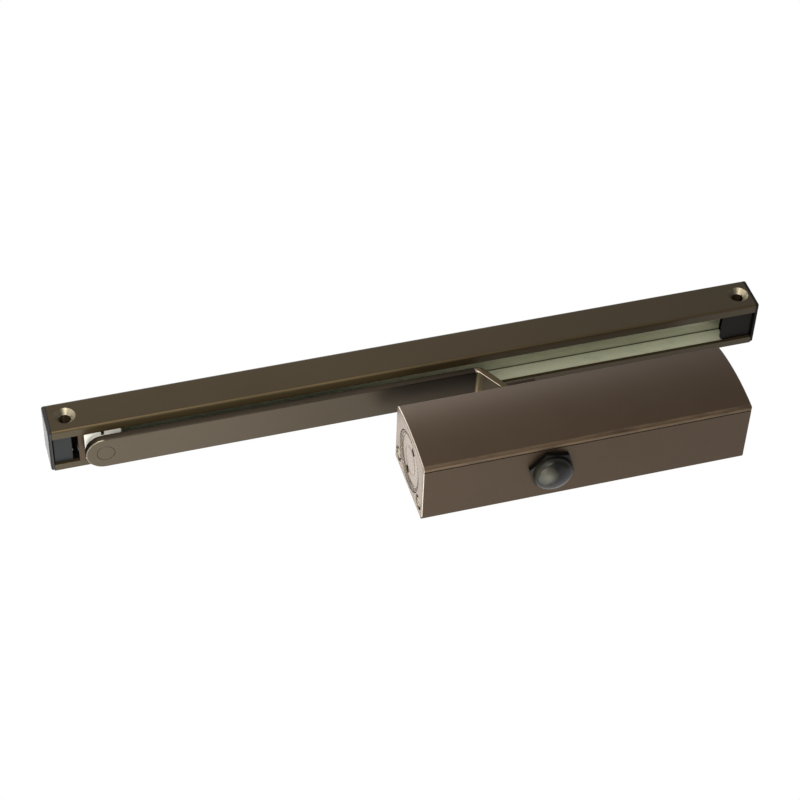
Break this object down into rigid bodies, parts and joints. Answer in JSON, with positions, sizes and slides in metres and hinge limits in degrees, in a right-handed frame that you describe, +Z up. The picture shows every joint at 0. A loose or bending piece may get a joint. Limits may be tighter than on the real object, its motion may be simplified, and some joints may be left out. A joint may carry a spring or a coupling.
{
  "type": "slide arm door closer",
  "caption": "Rack and pinion door closer with a domed housing, a cranked slide arm and a lipped guide rail that carries a slide block.",
  "frame": {"origin": "centre of the four tapped holes in the housing's back, on the wall plane Y = 0", "axes": "+Z up along the spindle, +X along the door, +Y into the door or wall; the domed front faces -Y"},
  "size_m": [0.4975, 0.0502, 0.1327],
  "materials": {
    "bronze_paint": "satin metallic",
    "bronze_anodised": "satin",
    "machined_steel": "machined",
    "hardened_steel": "ground",
    "spring_steel": "oiled",
    "zinc_steel": "zinc plated",
    "brass": "turned",
    "white_plastic": "moulded",
    "black_plastic": "moulded satin",
    "grey_plastic": "moulded",
    "seal_rubber": "matt"
  },
  "bodies": {
    "closer_body": {"housing": "bronze_paint", "end_plug_left": "machined_steel", "end_plug_right": "machined_steel", "plug_seal_left": "seal_rubber", "plug_seal_right": "seal_rubber", "spindle_bearing_upper": "hardened_steel", "spindle_bearing_lower": "hardened_steel", "bearing_nut_upper": "hardened_steel", "bearing_nut_lower": "hardened_steel", "shaft_seal_upper": "seal_rubber", "shaft_seal_lower": "seal_rubber", "spindle_cap": "black_plastic", "closing_spring": "spring_steel"},
    "arm": {"pinion_spindle": "hardened_steel", "slide_arm": "bronze_paint", "arm_screw": "zinc_steel", "arm_washer": "zinc_steel", "arm_pivot_pin": "bronze_paint", "pivot_washer": "white_plastic"},
    "piston": {"rack_piston": "machined_steel", "piston_rings": "white_plastic", "check_valve": "brass", "spring_seat": "machined_steel"},
    "closing_valve": {"closing_speed_valve": "zinc_steel"},
    "latch_valve": {"latch_speed_valve": "zinc_steel"},
    "slider": {"slide_block": "white_plastic"},
    "rail": {"guide_rail": "bronze_anodised", "rail_end_cap_left": "grey_plastic", "rail_end_cap_right": "grey_plastic", "rail_fixing_left": "grey_plastic", "rail_fixing_right": "grey_plastic", "rail_stop": "bronze_anodised"}
  },
  "joints": [
    {"name": "arm_swing", "type": "hinge", "parent": "closer_body", "child": "arm", "pos_m": [-0.0255, -0.0255, 0], "axis": [0, 0, -1], "range_deg": [0, 180], "stiffness_Nm_per_rad": 4, "springref_deg": -28.65},
    {"name": "piston_slide", "type": "slide", "parent": "closer_body", "child": "piston", "axis": [1, 0, 0], "range_m": [0, 0.0283], "deforming": ["closing_spring"]},
    {"name": "slider_pivot", "type": "hinge", "parent": "arm", "child": "slider", "pos_m": [-0.3033, -0.0255, 0.06475], "axis": [0, 0, 1], "range_deg": [-75, 75]},
    {"name": "rail_slide", "type": "slide", "parent": "slider", "child": "rail", "axis": [-1, 0, 0], "range_m": [0, 0.4239]},
    {"name": "closing_valve_turn", "type": "hinge", "parent": "closer_body", "child": "closing_valve", "pos_m": [-0.1135, -0.009, 0.0228], "axis": [1, 0, 0], "range_deg": [-180, 180]},
    {"name": "latch_valve_turn", "type": "hinge", "parent": "closer_body", "child": "latch_valve", "pos_m": [-0.1135, -0.009, -0.0228], "axis": [1, 0, 0], "range_deg": [-180, 180]}
  ],
  "couplings": [
    {"joint": "piston_slide", "follows": "arm_swing", "m_per_rad": 0.009}
  ]
}
